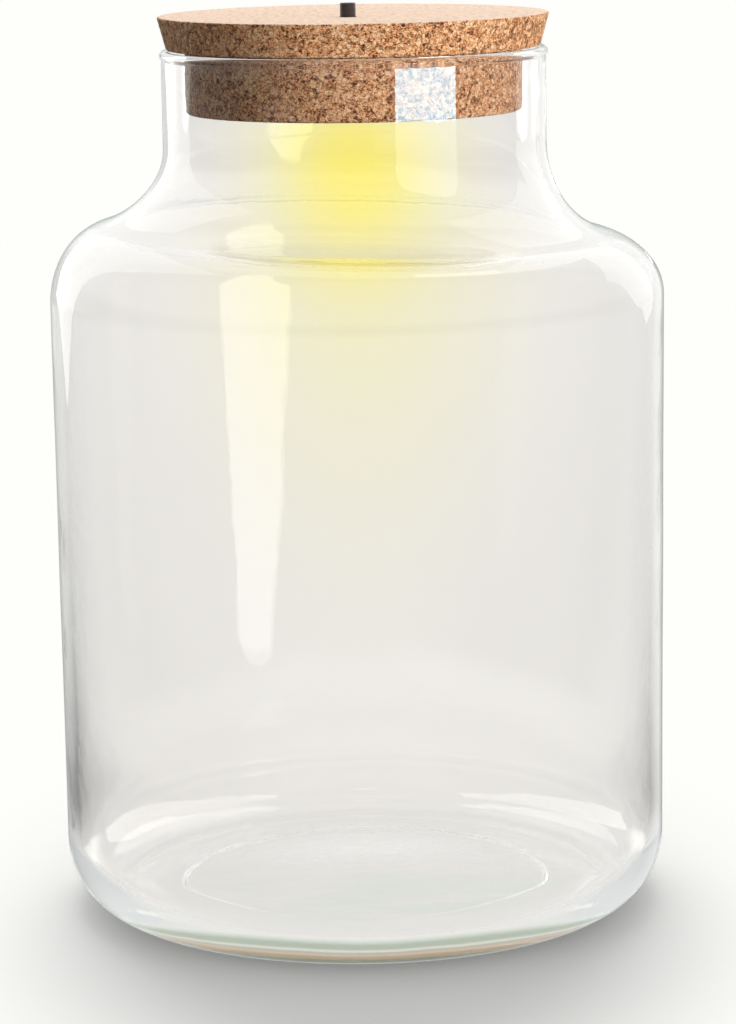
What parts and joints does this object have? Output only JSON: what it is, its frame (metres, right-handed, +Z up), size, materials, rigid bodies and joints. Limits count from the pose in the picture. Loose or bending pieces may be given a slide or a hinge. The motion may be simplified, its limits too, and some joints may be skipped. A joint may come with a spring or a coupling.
{
  "type": "glass terrarium jar",
  "caption": "Wide-necked clear glass jar, used as a terrarium, with a lift-out cork stopper that holds a battery lamp and its push button.",
  "frame": {"origin": "centre of the flat ring under the jar, on the surface that it stands on", "axes": "+Z up along the jar's axis; the push button is towards -Y, the front"},
  "size_m": [0.2048, 0.2048, 0.3045],
  "materials": {
    "clear_glass": "clear blown glass with a faint green edge",
    "cork": "agglomerated cork, sanded",
    "white_plastic": "fine matt",
    "frosted_lens": "frosted, lit warm yellow",
    "reflector_silver": "silvered",
    "black_plastic": "moulded",
    "button_black": "smooth, half gloss",
    "board_lacquer": "white lacquer",
    "red_insulation": "smooth",
    "black_insulation": "smooth",
    "cell_sleeve": "printed film, plain",
    "phosphor": "yellow phosphor",
    "plated_steel": "nickel plated"
  },
  "bodies": {
    "jar": {"glass_jar": "clear_glass"},
    "stopper": {"cork_lid": "cork", "cork_plug": "cork", "lamp_housing": "white_plastic", "housing_screw_1": "plated_steel", "housing_screw_2": "plated_steel", "housing_screw_3": "plated_steel", "battery_cell_1": "cell_sleeve", "battery_cell_2": "cell_sleeve", "battery_cell_3": "cell_sleeve", "battery_plate_1": "plated_steel", "battery_plate_2": "plated_steel", "battery_plate_3": "plated_steel", "battery_spring_1": "plated_steel", "battery_spring_2": "plated_steel", "battery_spring_3": "plated_steel", "led_board": "board_lacquer", "led_1": "phosphor", "led_2": "phosphor", "led_3": "phosphor", "led_4": "phosphor", "resistor": "black_plastic", "board_screw_1": "plated_steel", "board_screw_2": "plated_steel", "reflector": "reflector_silver", "switch_body": "black_plastic", "switch_terminal_1": "plated_steel", "switch_terminal_2": "plated_steel", "switch_spring": "plated_steel", "red_wire": "red_insulation", "black_wire": "black_insulation", "switch_wire": "red_insulation", "link_wire_1": "red_insulation", "link_wire_2": "red_insulation"},
    "cover": {"battery_cover": "white_plastic", "lamp_lens": "frosted_lens"},
    "button": {"switch_button": "button_black"}
  },
  "joints": [
    {"name": "stopper_lift", "type": "slide", "parent": "jar", "child": "stopper", "axis": [0, 0, 1], "range_m": [0, 0.12]},
    {"name": "cover_turn", "type": "hinge", "parent": "stopper", "child": "cover", "pos_m": [0, 0, 0.2686], "axis": [0, 0, 1], "range_deg": [0, 50]},
    {"name": "button_press", "type": "slide", "parent": "stopper", "child": "button", "axis": [0, 0, -1], "range_m": [0, 0.0015], "stiffness_N_per_m": 400, "springref_m": -0.001, "deforming": ["switch_spring"]}
  ]
}
